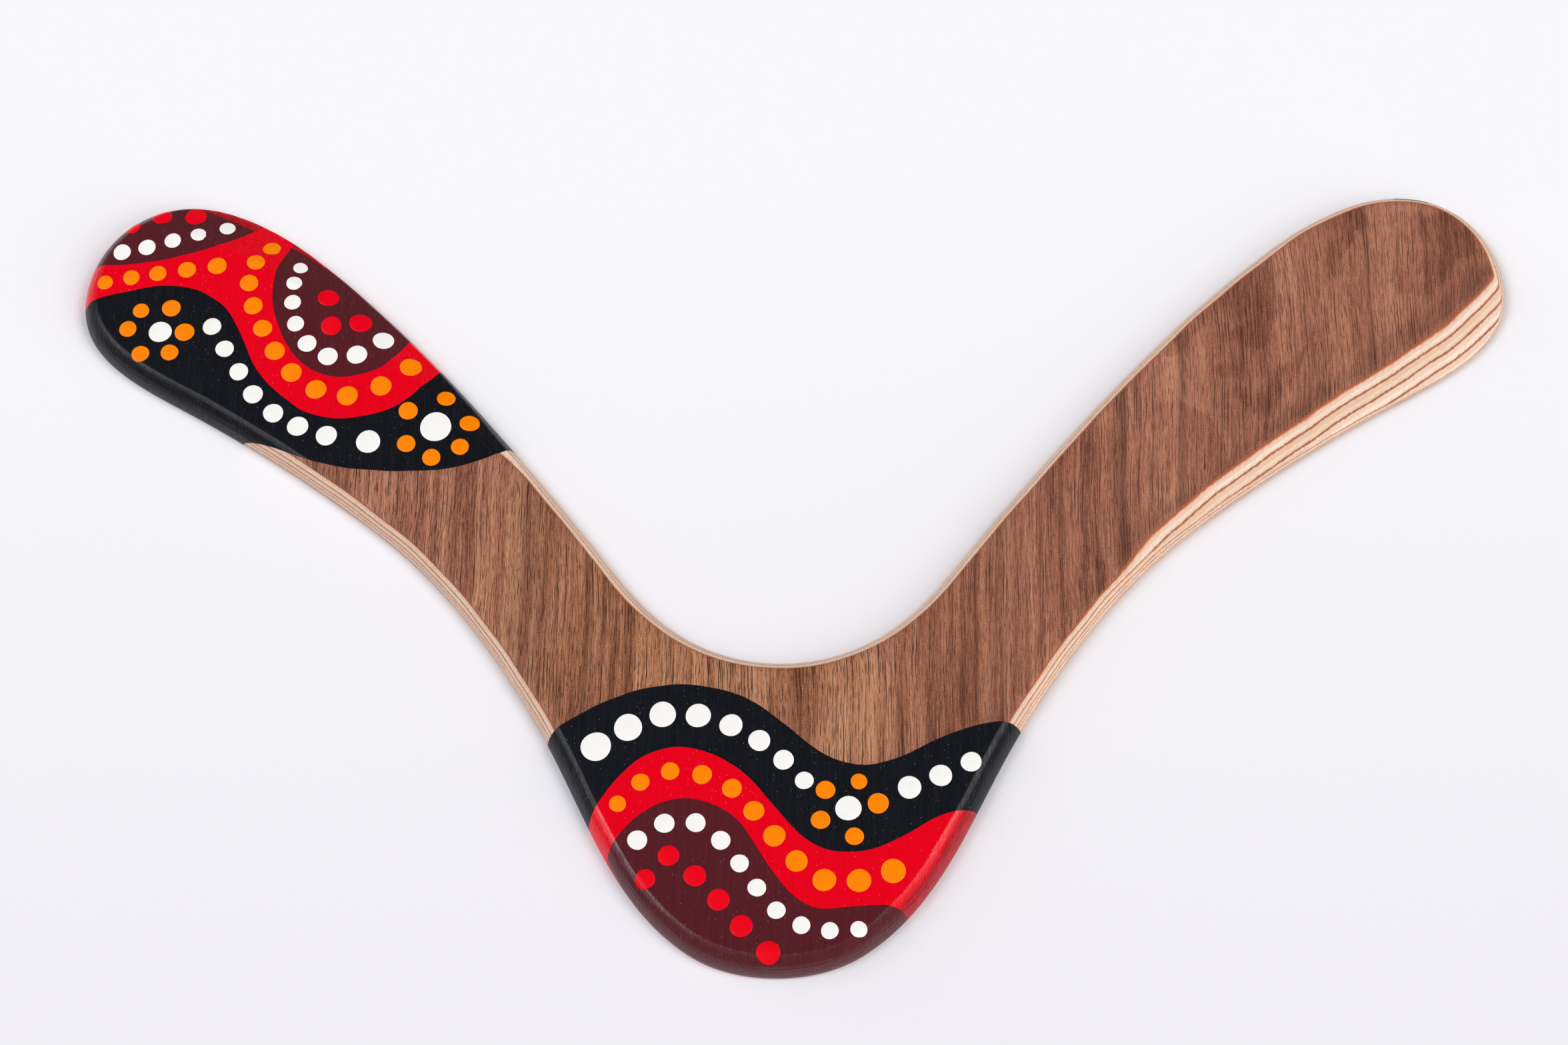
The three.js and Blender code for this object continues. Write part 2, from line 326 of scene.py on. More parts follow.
def new_mesh(name, points, faces, materials, smooth=True, angle=SHARP_ANGLE):
    """An object from points in outline millimetres."""
    co = np.array(points, float)
    co[:, 1] += SHIFT_Y
    mesh = bpy.data.meshes.new(name)
    mesh.from_pydata((co * MM).tolist(), [], faces)
    mesh.validate()
    mesh.update()
    if smooth:
        mesh.shade_smooth()
        mesh.set_sharp_from_angle(angle=math.radians(angle))
    obj = bpy.data.objects.new(name, mesh)
    bpy.context.scene.collection.objects.link(obj)
    for material in materials:
        mesh.materials.append(material)
    return obj


def grid_faces(levels, size):
    """The side faces between closed rings that lie one on the next."""
    index = np.arange(levels * size).reshape(levels, size)
    right = np.roll(index, -1, 1)
    quads = np.stack([index[:-1], right[:-1], right[1:], index[1:]], -1).reshape(-1, 4)
    return quads.tolist()


def lofted(rings):
    """Points and faces of the closed body through rings of (size, 3) points."""
    size = len(rings[0])
    faces = grid_faces(len(rings), size)
    faces.append(list(range(size))[::-1])
    faces.append([(len(rings) - 1) * size + i for i in range(size)])
    return np.concatenate(rings), faces


def ring_at(z):
    flat = section(z)
    return np.column_stack([flat, np.full(len(flat), z)])


def layer_levels():
    """The layers from the underside up: node, material slot and the heights of the rings."""
    layers = [("walnut_back_veneer", "walnut", [0, 0.06, 0.16, 0.3, 0.43, VENEER])]
    z = VENEER
    for ply in range(BIRCH_PLIES, 0, -1):
        layers.append((f"glue_line_{ply + 1}", "glue", [z, z + GLUE_LINE]))
        z += GLUE_LINE
        parts = (0, 0.25, 0.5, 0.75, 1)
        layers.append((f"birch_ply_{ply}", "birch", [z + p * BIRCH_PLY for p in parts]))
        z += BIRCH_PLY
    layers.append(("glue_line_1", "glue", [z, z + GLUE_LINE]))
    z += GLUE_LINE
    parts = (0, 0.2, 0.4, 0.58, 0.73, 0.85, 0.94, 0.985, 1)
    layers.append(("walnut_face_veneer", "walnut", [z + p * VENEER for p in parts]))
    return layers


CAP_MARGIN = 0.6
layers = layer_levels()
rings = {}
for _, _, levels in layers:
    for z in levels:
        if round(z, 4) not in rings:
            rings[round(z, 4)] = ring_at(round(z, 4))
top_inner = rings[round(THICKNESS, 4)].copy()
top_inner[:, :2] -= outward * CAP_MARGIN


# ======================================================================= shaders
class Tree:
    """A material's node tree, with short calls that return sockets."""

    def __init__(self, name):
        self.material = bpy.data.materials.new(name)
        self.material.use_nodes = True
        self.nodes = self.material.node_tree.nodes
        self.links = self.material.node_tree.links
        self.nodes.clear()
        self.shader = self.nodes.new("ShaderNodeBsdfPrincipled")
        out = self.nodes.new("ShaderNodeOutputMaterial")
        self.links.new(self.shader.outputs[0], out.inputs["Surface"])
        place = self.nodes.new("ShaderNodeTexCoord")
        self.mm = self.vector("SCALE", place.outputs["Object"], scale=1 / MM)
        self.normal = self.nodes.new("ShaderNodeNewGeometry").outputs["Normal"]

    def put(self, socket, value):
        if isinstance(value, bpy.types.NodeSocket):
            self.links.new(value, socket)
        else:
            socket.default_value = value

    def vector(self, operation, a, b=None, scale=None):
        node = self.nodes.new("ShaderNodeVectorMath")
        node.operation = operation
        self.put(node.inputs[0], a)
        if b is not None:
            self.put(node.inputs[1], b)
        if scale is not None:
            node.inputs["Scale"].default_value = scale
        return node.outputs["Value" if operation in ("DOT_PRODUCT", "LENGTH") else "Vector"]

    def math(self, operation, a, b=0.0, c=0.0):
        node = self.nodes.new("ShaderNodeMath")
        node.operation = operation
        self.put(node.inputs[0], a)
        self.put(node.inputs[1], b)
        if operation == "MULTIPLY_ADD":
            self.put(node.inputs[2], c)
        return node.outputs[0]

    def axes(self, vector):
        node = self.nodes.new("ShaderNodeSeparateXYZ")
        self.put(node.inputs[0], vector)
        return node.outputs

    def join(self, x, y, z):
        node = self.nodes.new("ShaderNodeCombineXYZ")
        for socket, value in zip(node.inputs, (x, y, z)):
            self.put(socket, value)
        return node.outputs[0]

    def noise(self, where, stretch, detail=3.0, roughness=0.55, shift=(0, 0, 0), distortion=0.0):
        node = self.nodes.new("ShaderNodeTexNoise")
        placed = self.vector("MULTIPLY", where, stretch)
        placed = self.vector("ADD", placed, shift)
        self.put(node.inputs["Vector"], placed)
        node.inputs["Scale"].default_value = 1
        node.inputs["Detail"].default_value = detail
        node.inputs["Roughness"].default_value = roughness
        node.inputs["Distortion"].default_value = distortion
        return node.outputs[0]

    def cells(self, where, stretch, shift):
        """Random cells: the stretched place that is looked up, and the cell's sockets."""
        node = self.nodes.new("ShaderNodeTexVoronoi")
        placed = self.vector("ADD", self.vector("MULTIPLY", where, stretch), shift)
        self.put(node.inputs["Vector"], placed)
        node.inputs["Scale"].default_value = 1
        node.inputs["Randomness"].default_value = 1
        return placed, node.outputs

    def between(self, value, low, high, out_low=0.0, out_high=1.0, smooth=True):
        node = self.nodes.new("ShaderNodeMapRange")
        node.interpolation_type = "SMOOTHSTEP" if smooth else "LINEAR"
        self.put(node.inputs["Value"], value)
        self.put(node.inputs["From Min"], low)
        self.put(node.inputs["From Max"], high)
        self.put(node.inputs["To Min"], out_low)
        self.put(node.inputs["To Max"], out_high)
        return node.outputs[0]

    def ramp(self, value, *stops):
        node = self.nodes.new("ShaderNodeValToRGB")
        self.put(node.inputs[0], value)
        elements = node.color_ramp.elements
        while len(elements) < len(stops):
            elements.new(0.5)
        for element, (at, colour) in zip(elements, stops):
            element.position = at
            element.color = colour
        return node.outputs[0]

    def mix(self, share, a, b):
        node = self.nodes.new("ShaderNodeMix")
        node.data_type = "RGBA"
        self.put(node.inputs[0], share)
        self.put(node.inputs[6], a)
        self.put(node.inputs[7], b)
        return node.outputs[2]

    def bump(self, height, strength, distance_mm, below=None):
        node = self.nodes.new("ShaderNodeBump")
        node.inputs["Strength"].default_value = strength
        node.inputs["Distance"].default_value = distance_mm * MM
        self.put(node.inputs["Height"], height)
        if below is not None:
            self.put(node.inputs["Normal"], below)
        return node.outputs[0]

    def finish(self, colour, roughness, normal, specular, coat=0.0, coat_roughness=0.2):
        self.put(self.shader.inputs["Base Color"], colour)
        self.put(self.shader.inputs["Roughness"], roughness)
        self.put(self.shader.inputs["Normal"], normal)
        self.shader.inputs["Specular IOR Level"].default_value = specular
        self.shader.inputs["Coat Weight"].default_value = coat
        self.shader.inputs["Coat Roughness"].default_value = coat_roughness
        return self.material


def glue_distance(t, z):
    """How far a height is above the nearest glue line's middle, in millimetres."""
    turns = t.math("DIVIDE", t.math("SUBTRACT", z, FIRST_GLUE), PLY_PITCH)
    part = t.math("SUBTRACT", turns, t.math("ROUND", turns))
    return t.math("MULTIPLY", part, PLY_PITCH)


def pore_layer(t, place, apart, size, keep, shift):
    """Thin dark spindles along y, one to a cell: cell size and half spindle size in millimetres."""
    placed, cell = t.cells(place, (1 / apart[0], 1 / apart[1], 0.25), shift)
    off = t.vector("SUBTRACT", placed, cell["Position"])
    off = t.vector("MULTIPLY", off, (apart[0] / size[0], apart[1] / size[1], 0))
    chance, strength, _ = t.axes(cell["Color"])
    spindle = t.between(t.vector("LENGTH", off), 1.0, 0.45)
    spindle = t.math("MULTIPLY", spindle, t.between(strength, 0, 1, 0.45, 1.0))
    return t.math("MULTIPLY", spindle, t.math("LESS_THAN", chance, keep))


def walnut_pores(t, place, shift=(0, 0, 0)):
    """The pores, from 0 to 1: short ones all over, and long dark lines in drifts."""
    wobble = t.math("SUBTRACT", t.noise(place, (0.25, 0.14, 0.3), 2, 0.6, (shift[0], 3, 3)), 0.5)
    place = t.vector("ADD", place, t.join(t.math("MULTIPLY", wobble, 0.55), 0.0, 0.0))
    drift = t.noise(place, (0.13, 0.014, 0.1), 2, 0.5, (4, 9 + shift[0], 2))
    many = t.between(drift, 0.38, 0.56, 0.2, 1.0)
    short = pore_layer(t, place, (0.8, 6.0), (0.135, 2.8), 0.9, shift)
    tiny = pore_layer(t, place, (0.5, 3.2), (0.11, 1.3), 0.7, (shift[0] + 5, 8, 1))
    long = pore_layer(t, place, (1.0, 26.0), (0.19, 12.0), many, (shift[0] + 3, 5, 2))
    return t.math("MAXIMUM", long, t.math("MAXIMUM", short, t.math("MULTIPLY", tiny, 0.7)))


def walnut(name, seed):
    """Lacquered walnut: bands and fibres along y, pores, streaks, and a burnt lower edge."""
    t = Tree(name)
    x, y, z = t.axes(t.mm)
    sway = t.noise(t.mm, (0.014, 0.011, 0), 2, 0.5, (seed, 3, 0))
    bent = t.math("MULTIPLY_ADD", t.math("SUBTRACT", sway, 0.5), 8.0, x)
    grain = t.join(bent, y, z)
    broad = t.noise(grain, (0.06, 0.008, 0.02), 2, 0.5, (seed, 0, 0))
    bands = t.noise(grain, (0.45, 0.009, 0.05), 4, 0.65, (seed, 7, 1))
    fibre = t.noise(grain, (2.6, 0.07, 0.3), 5, 0.75, (2, seed, 4))
    grit = t.noise(grain, (4.5, 2.5, 3.0), 2, 0.6, (1, 5, seed))
    pores = walnut_pores(t, grain, (seed, 1, 5))
    striped = t.between(x, 70, 120, 0.4, 0.2)
    tone = t.math("MULTIPLY_ADD", t.math("SUBTRACT", broad, 0.5), 0.25, 0.5)
    tone = t.math("MULTIPLY_ADD", t.math("SUBTRACT", bands, 0.5), striped, tone)
    tone = t.math("MULTIPLY_ADD", t.math("SUBTRACT", fibre, 0.5), 0.3, tone)
    tone = t.math("MULTIPLY_ADD", t.math("SUBTRACT", grit, 0.5), 0.26, tone)
    figure = t.noise(t.mm, (0.035, 0.022, 0.02), 3, 0.45, (seed, 21, 0), 0.6)
    curl = t.math("MULTIPLY", t.between(figure, 0.52, 0.56, 0.02, -0.026), t.between(x, 60, 110))
    tone = t.math("ADD", tone, t.math("ADD", curl, t.between(x, 140, 172, 0, -0.02)))
    heart = t.ramp(
        tone,
        (0.36, srgb(92, 51, 38)), (0.44, srgb(130, 80, 62)), (0.5, srgb(163, 106, 84)),
        (0.55, srgb(180, 122, 97)), (0.63, srgb(204, 147, 116)))
    pale = t.ramp(
        tone,
        (0.36, srgb(92, 52, 36)), (0.44, srgb(134, 84, 58)), (0.5, srgb(168, 112, 80)),
        (0.55, srgb(186, 132, 96)), (0.63, srgb(208, 158, 120)))
    elbow = t.between(t.vector("LENGTH", t.vector("ADD", t.mm, (22, 28, 0))), 20, 98, 0.75, 0)
    colour = t.mix(elbow, heart, pale)
    for middle, half_width, depth in WALNUT_STREAKS:
        off = t.math("ABSOLUTE", t.math("SUBTRACT", bent, middle))
        here = t.math("MULTIPLY", t.between(off, half_width, 0, 0, depth), fibre)
        colour = t.mix(here, colour, srgb(70, 40, 31))
    streak = t.noise(grain, (0.7, 0.006, 0.1), 3, 0.6, (seed, 13, 8))
    colour = t.mix(t.between(streak, 0.6, 0.72, 0, 0.4), colour, srgb(80, 46, 36))
    crease_x, crease_y = np.subtract(CREASE_TO, CREASE_FROM) / math.dist(CREASE_TO, CREASE_FROM)
    start = Vector((*CREASE_FROM, 0)) + Vector((0, SHIFT_Y, 0))
    inside = t.vector("DOT_PRODUCT", t.vector("SUBTRACT", t.mm, start), (-crease_y, crease_x, 0))
    inside = t.math("MULTIPLY_ADD", t.math("SUBTRACT", figure, 0.5), 10, inside)
    shaded = t.between(inside, 5, 1, 0, 0.3)
    colour = t.mix(t.math("MULTIPLY", shaded, t.between(x, 80, 105)), colour, srgb(84, 48, 40))
    depth = t.between(x, -10, 70, 0.98, 0.78)
    colour = t.mix(t.math("MULTIPLY", pores, depth), colour, srgb(52, 27, 20))
    cut = t.math("MULTIPLY_ADD", t.noise(t.mm, (1.6, 1.6, 0.3), 3, 0.7), -0.3, z)
    burn = t.between(cut, THICKNESS - VENEER - 0.14, THICKNESS - VENEER + 0.1, 0.9, 0)
    burn = t.math("MULTIPLY", burn, t.between(x, 30, 90, 0.25, 1))
    burn = t.math("MULTIPLY", burn, t.between(z, 3, 4))
    colour = t.mix(burn, colour, srgb(176, 94, 54))
    relief = t.math("MULTIPLY_ADD", pores, -1.0, t.math("MULTIPLY", fibre, 0.5))
    rough = t.between(fibre, 0.3, 0.7, 0.42, 0.56)
    return t.finish(colour, rough, t.bump(relief, 0.3, 0.06), 0.14, 0.03, 0.3)


def birch(name, seed, warm, cool, open_grain):
    """Sanded birch: fine slanted hairs, resin soaked in beside the glue, flecks on steep edges."""
    t = Tree(name)
    x, y, z = t.axes(t.mm)
    turned = t.nodes.new("ShaderNodeVectorRotate")
    turned.rotation_type = "Z_AXIS"
    turned.inputs["Angle"].default_value = math.radians(24 if seed % 2 else 34)
    t.put(turned.inputs["Vector"], t.mm)
    hair_place = turned.outputs[0]
    hairs = t.noise(hair_place, (4.4, 0.6, 0.8), 4, 0.65, (seed, 2, 0))
    cloud = t.noise(t.mm, (0.09, 0.09, 0.5), 3, 0.55, (0, seed, 6))
    fleck = t.noise(hair_place, (3.6, 0.7, 2.0), 3, 0.6, (seed, 8, 3))
    tone = t.math("MULTIPLY_ADD", hairs, 0.55, t.math("MULTIPLY", cloud, 0.45))
    colour = t.mix(t.between(tone, 0.42, 0.58), cool, warm)
    colour = t.mix(t.between(hairs, 0.46, 0.36, 0, 0.24), colour, srgb(212, 172, 144))
    colour = t.mix(t.between(fleck, 0.6, 0.74, 0, 0.5), colour, srgb(190, 142, 108))
    steep = t.between(t.axes(t.normal)[2], 0.9, 0.72, 0, open_grain)
    specks = t.noise(t.mm, (4.5, 2.2, 5.0), 3, 0.65, (seed, 4, 7))
    flecked = t.math("MULTIPLY", steep, t.between(specks, 0.47, 0.6, 0.12, 1))
    colour = t.mix(flecked, colour, srgb(142, 104, 74))
    jag = t.noise(hair_place, (2.3, 0.3, 0.2), 3, 0.7, (5, seed, 1))
    jag = t.between(jag, 0.38, 0.7, 0.0, 0.14, False)
    above = glue_distance(t, z)
    apart = t.math("ABSOLUTE", above)
    fade = t.between(t.math("SUBTRACT", above, jag), 0.34, 0.03, 0, 0.34)
    colour = t.mix(fade, colour, srgb(218, 152, 124))
    soak = t.between(apart, t.math("ADD", jag, 0.085), t.math("ADD", jag, 0.03), 0, 0.8)
    colour = t.mix(soak, colour, srgb(176, 100, 66))
    face = t.math("MULTIPLY_ADD", jag, 1.4, z)
    top = THICKNESS - VENEER
    scorched = t.between(face, top - 0.28, top - 0.04)
    scorched = t.math("MULTIPLY", scorched, t.between(x, 30, 90, 0.3, 0.85))
    colour = t.mix(scorched, colour, srgb(212, 130, 84))
    inked = t.between(t.math("ABSOLUTE", t.math("SUBTRACT", x, 177)), 5.2, 4.4)
    inked = t.math("MULTIPLY", inked, t.between(y, 111.4, 112.2))
    inked = t.math("MULTIPLY", inked, t.between(z, 5.4, 5.1, 0, 0.9))
    inked = t.math("MULTIPLY", inked, t.between(z, 2.9, 3.3))
    colour = t.mix(inked, colour, srgb(44, 34, 33))
    rough = t.between(tone, 0.3, 0.7, 0.45, 0.6)
    return t.finish(colour, rough, t.bump(tone, 0.2, 0.04), 0.16, 0.03, 0.3)


def glue(name):
    t = Tree(name)
    patch = t.noise(t.mm, (0.9, 0.9, 2.0), 4, 0.7)
    colour = t.ramp(
        patch, (0.3, srgb(132, 66, 42)), (0.5, srgb(158, 84, 55)), (0.7, srgb(186, 116, 80)))
    rough = t.between(patch, 0.3, 0.7, 0.4, 0.6)
    return t.finish(colour, rough, t.bump(patch, 0.3, 0.03), 0.4)


def paint(name, deep, plain, light, seed, low_colour, low_share, matt):
    """Brushed acrylic under lacquer: the wood's pores and ply steps show through, with specks."""
    t = Tree(name)
    x, _, z = t.axes(t.mm)
    veil = t.noise(t.mm, (1.6, 0.05, 0.3), 4, 0.65, (seed, 1, 0))
    colour = t.ramp(veil, (0.34, deep), (0.5, plain), (0.68, light))
    strands = t.noise(t.mm, (0.25, 0.25, 4.5), 4, 0.7, (seed, 6, 2))
    # The low colour is real red paint left low on the maroon rim, and painted shade low on the red
    # rim right of the elbow.
    low = t.math("MULTIPLY", low_share(t, x, z), t.between(strands, 0.34, 0.6, 0.35, 1))
    colour = t.mix(low, colour, low_colour)
    cell = t.cells(t.mm, (1.1, 1.1, 1.1), (seed, 0, 0))[1]
    rare = t.between(t.axes(cell["Color"])[0], 0.68, 0.7)
    speck = t.math("MULTIPLY", t.between(cell["Distance"], 0.07, 0.13, 1, 0), rare)
    colour = t.mix(t.math("MULTIPLY", speck, 0.4), colour, srgb(190, 184, 184))
    pores = walnut_pores(t, t.mm, (seed, 1, 5))
    swell = t.noise(t.mm, (0.16, 0.1, 0.3), 3, 0.5, (seed, 5, 5))
    steps = t.noise(t.mm, (0.05, 0.05, 2.2), 2, 0.6, (seed, 2, 9))
    pits = t.noise(t.mm, (1.9, 0.4, 1.2), 1, 0.5, (seed, 7, 7))
    slope = t.between(t.axes(t.normal)[2], 0.94, 0.998, 1, 0.003)
    pits = t.math("SUBTRACT", pits, 0.5)
    steps = t.math("SUBTRACT", steps, 0.5)
    rugged = t.math("MULTIPLY_ADD", pits, 1.1, t.math("MULTIPLY", steps, 2.4))
    groove = t.math("MULTIPLY", pores, t.math("MULTIPLY_ADD", slope, -0.5, -0.14))
    relief = t.math("MULTIPLY_ADD", rugged, slope, groove)
    relief = t.math("MULTIPLY_ADD", speck, 0.3, relief)
    normal = t.bump(relief, 0.6, 0.1, t.bump(swell, 0.2, 0.1))
    rough = t.between(pits, -0.2, 0.2, 0.12 + matt, 0.17 + matt)
    rough = t.math("MULTIPLY_ADD", slope, 0.15 - 0.4 * matt, rough)
    return t.finish(colour, rough, normal, 0.42, 0.04, 0.2)


def no_low(t, x, z):
    """The share of low colour where a paint has none."""
    return 0.0


def left_rim(t, x, z):
    """The red that was left low on the rim, left of the elbow's bottom, thinning to the right."""
    line = t.between(x, -44.5, -40, 2.9, 0.45, False)
    low = t.between(t.math("SUBTRACT", z, line), 0.25, -0.15)
    return t.math("MULTIPLY", low, t.between(x, -6, 0, 1, 0))


def right_rim_painted_shade(t, x, z):
    """Painted shade: the red darkened low on the rim right of the elbow, where the roll turns from
    the light, streaked along its ribs.
    """
    return t.math("MULTIPLY", t.between(x, 20, 32, 0, 0.95), t.between(z, 6.4, 5.0))


def dot_paint(name, plain, thin, seed):
    """Thick acrylic dots, a little thinner in colour in patches."""
    t = Tree(name)
    cloud = t.noise(t.mm, (0.35, 0.35, 0.3), 3, 0.6, (seed, 0, 0))
    grit = t.noise(t.mm, (3.0, 3.0, 3.0), 3, 0.7, (seed, 3, 0))
    colour = t.mix(t.between(cloud, 0.4, 0.8, 0, 0.6), plain, thin)
    relief = t.math("MULTIPLY_ADD", grit, 0.3, cloud)
    rough = t.between(grit, 0.3, 0.7, 0.3, 0.42)
    return t.finish(colour, rough, t.bump(relief, 0.12, 0.04), 0.16)


WALNUT = {
    "walnut_face_veneer": walnut("walnut_face", 2),
    "walnut_back_veneer": walnut("walnut_back", 31),
}
# The birch plies from the face down: warm tint, cool tint, and how open the steep grain is.
BIRCH_LOOKS = [
    (srgb(243, 226, 208), srgb(237, 214, 191), 0.45),
    (srgb(238, 215, 188), srgb(232, 205, 176), 0.1),
    (srgb(248, 231, 212), srgb(243, 220, 198), 0.7),
    (srgb(247, 230, 210), srgb(243, 220, 197), 0.4),
    (srgb(245, 223, 199), srgb(234, 204, 175), 0.7),
]
BIRCH = {ply: birch(f"birch_{ply}", ply, *look) for ply, look in enumerate(BIRCH_LOOKS, 1)}
GLUE = glue("glue_line")
PAINTS = {
    "black": paint("black_paint", srgb(5, 7, 12), srgb(9, 11, 19), srgb(17, 20, 30), 3,
                   srgb(20, 20, 26), no_low, 0.2),
    # The red's low colour is painted shade, low on the rim right of the elbow.
    "red": paint("red_paint", srgb(228, 0, 25), srgb(234, 0, 27), srgb(238, 2, 30), 5,
                 srgb(128, 6, 20), right_rim_painted_shade, 0.0),
    "maroon": paint("maroon_paint", srgb(82, 28, 34), srgb(86, 32, 37), srgb(91, 35, 41), 8,
                    srgb(204, 6, 20), left_rim, 0.0),
}
DOTS = {
    "white": dot_paint("white_dot_paint", srgb(250, 249, 245), srgb(243, 242, 236), 4),
    "orange": dot_paint("orange_dot_paint", srgb(255, 136, 0), srgb(253, 122, 0), 6),
    "red": dot_paint("red_dot_paint", srgb(238, 0, 26), srgb(226, 0, 20), 9),
}


# ======================================================================= the wood
def place(piece, slot, *nodes):
    """Attach a piece to the root body and hide the nodes it replaces. The slot is not used."""
    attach(piece, "root")
    if nodes:
        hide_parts(*nodes)


for name, kind, levels in layers:
    stack = [rings[round(z, 4)] for z in levels]
    if name == "walnut_face_veneer":
        stack.append(top_inner)
    points, faces = lofted(stack)
    if kind == "birch":
        material = BIRCH[int(name[-1])]
    else:
        material = GLUE if kind == "glue" else WALNUT[name]
    place(new_mesh(f"{name}_sanded", points, faces, [material]), kind, name)

# ======================================================================= the paint
heights = sorted(rings)
coated = [z for z in heights if z >= PAINT_FOOT]
surface = np.stack([rings[z] for z in coated])
round_step = np.roll(surface, -1, 1) - np.roll(surface, 1, 1)
up_step = np.gradient(surface, axis=0)
outside = np.cross(round_step, up_step)
outside /= np.linalg.norm(outside, axis=2, keepdims=True)
ply_turns = (np.array(coated) - FIRST_GLUE) / PLY_PITCH
glue_levels = abs(ply_turns - ply_turns.round()) * PLY_PITCH < 0.06


def coat(thickness):
    """The closed body that the paint's outer surface bounds, a little larger than the board."""
    reach = thickness + PLY_RIDGE * glue_levels[:, None, None]
    skin = surface + outside * reach
    skin[-1, :, 2] = THICKNESS + thickness
    inner = top_inner.copy()
    inner[:, 2] = THICKNESS + thickness
    return lofted([*skin, inner])


def wander(points):
    """Points of a painted line, moved a little, alike for both colours that meet there."""
    x, y = points.T
    sideways = np.sin(0.53 * y + 1.7 * np.sin(0.21 * x))
    lengthways = np.sin(0.47 * x + 1.3 * np.sin(0.33 * y))
    return points + PAINT_WANDER * np.stack([sideways, lengthways], -1)


def path(line):
    """A painted line's points in its own direction."""
    return wander(trace(line, PAINT_LINE_STEP))


def back(line):
    """A painted line's points, the other way."""
    return path(line)[::-1]


# Corners well outside the board, which close a field that runs off its edge.
ABOVE_TIP = [(-148, 245), (-215, 245)]
ABOVE_HALF_DISC = [(-95, 215), (-120, 240)]
LEFT_OF_TIP = [(-220, 190), (-215, 150)]
BELOW_ELBOW = [(60, -15), (-60, -15)]
FIELDS = {
    "maroon_tip_cap": ("maroon", [path(CAP_LINE), ABOVE_TIP]),
    "red_tip_band": ("red", [path(TIP_BLACK_LINE), back(HALF_DISC_LINE), back(CAP_LINE)]),
    "maroon_tip_half_disc": ("maroon", [path(HALF_DISC_LINE), ABOVE_HALF_DISC]),
    "black_tip_field": ("black", [path(TIP_FOOT_LINE), back(TIP_BLACK_LINE), LEFT_OF_TIP]),
    "black_elbow_band": ("black", [path(ELBOW_TOP_LINE), back(ELBOW_BLACK_LINE)]),
    "red_elbow_band": ("red", [path(ELBOW_BLACK_LINE), back(ELBOW_RED_LINE)]),
    "maroon_elbow_field": ("maroon", [path(ELBOW_RED_LINE), BELOW_ELBOW]),
}


def prism(loop, bottom, top):
    """Points and faces of an upright body on a closed loop."""
    x, y = loop.T
    if (x * np.roll(y, -1) - y * np.roll(x, -1)).sum() < 0:
        loop = loop[::-1]
    return lofted([np.column_stack([loop, np.full(len(loop), z)]) for z in (bottom, top)])


def combine(piece, other, operation):
    """A boolean of the piece with another object."""
    cut = piece.modifiers.new("cut", "BOOLEAN")
    cut.solver = "MANIFOLD"
    cut.operation = operation
    cut.object = other


board_points, board_faces = lofted([*[rings[z] for z in heights], top_inner])
board = new_mesh("cutter_board", board_points, board_faces, [], smooth=False)
for node, (colour, edges) in FIELDS.items():
    film = new_mesh("film", *coat(PAINT_FILM[colour]), [], smooth=False)
    field = new_mesh("cutter_field", *prism(np.concatenate(edges), -2, 10), [], smooth=False)
    combine(film, field, "INTERSECT")
    combine(film, board, "DIFFERENCE")
    graph = bpy.context.evaluated_depsgraph_get()
    mesh = bpy.data.meshes.new_from_object(film.evaluated_get(graph), depsgraph=graph)
    mesh.name = f"{node}_film"
    mesh.materials.clear()
    mesh.materials.append(PAINTS[colour])
    mesh.shade_smooth()
    mesh.set_sharp_from_angle(angle=math.radians(SHARP_ANGLE))
    bpy.data.objects.remove(film)
    bpy.data.objects.remove(field)
    piece = bpy.data.objects.new(f"{node}_film", mesh)
    bpy.context.scene.collection.objects.link(piece)
    place(piece, f"{colour}_paint", node)
bpy.data.objects.remove(board)


# ======================================================================= the dots
def segment_distance(points, line):
    """Each point's distance to an open path, its side (right positive), and if it is beside it."""
    start, side = line[:-1], np.diff(line, axis=0)
    gap = points[:, None] - start[None]
    share = np.clip((gap * side).sum(2) / (side**2).sum(1), 0, 1)
    apart = gap - share[..., None] * side
    distance = np.linalg.norm(apart, axis=2)
    nearest = distance.argmin(1)
    rows = np.arange(len(points))
    cross = side[nearest, 1] * apart[rows, nearest, 0] - side[nearest, 0] * apart[rows, nearest, 1]
    before = (nearest == 0) & (share[rows, nearest] <= 0)
    beyond = (nearest == len(start) - 1) & (share[rows, nearest] >= 1)
    return distance[rows, nearest], np.sign(cross), ~(before | beyond)


def top_height(points):
    """The board's height at points in plan."""
    ring = np.vstack([outline, outline[:1]])
    edge = segment_distance(points, ring)[0]
    share = np.clip(1 - edge / ROLL_WIDTH, 0, 1)
    up = (1 - share**ROLL_POWER) ** (1 / ROLL_POWER)
    height = RIM_HEIGHT + up * (THICKNESS - RIM_HEIGHT)
    for line in creases:
        distance, side, inside = segment_distance(points, line)
        fall = np.where((side > 0) & inside, distance * math.tan(BEVEL_SLOPE), 0)
        height = np.minimum(height, THICKNESS - fall)
    return height


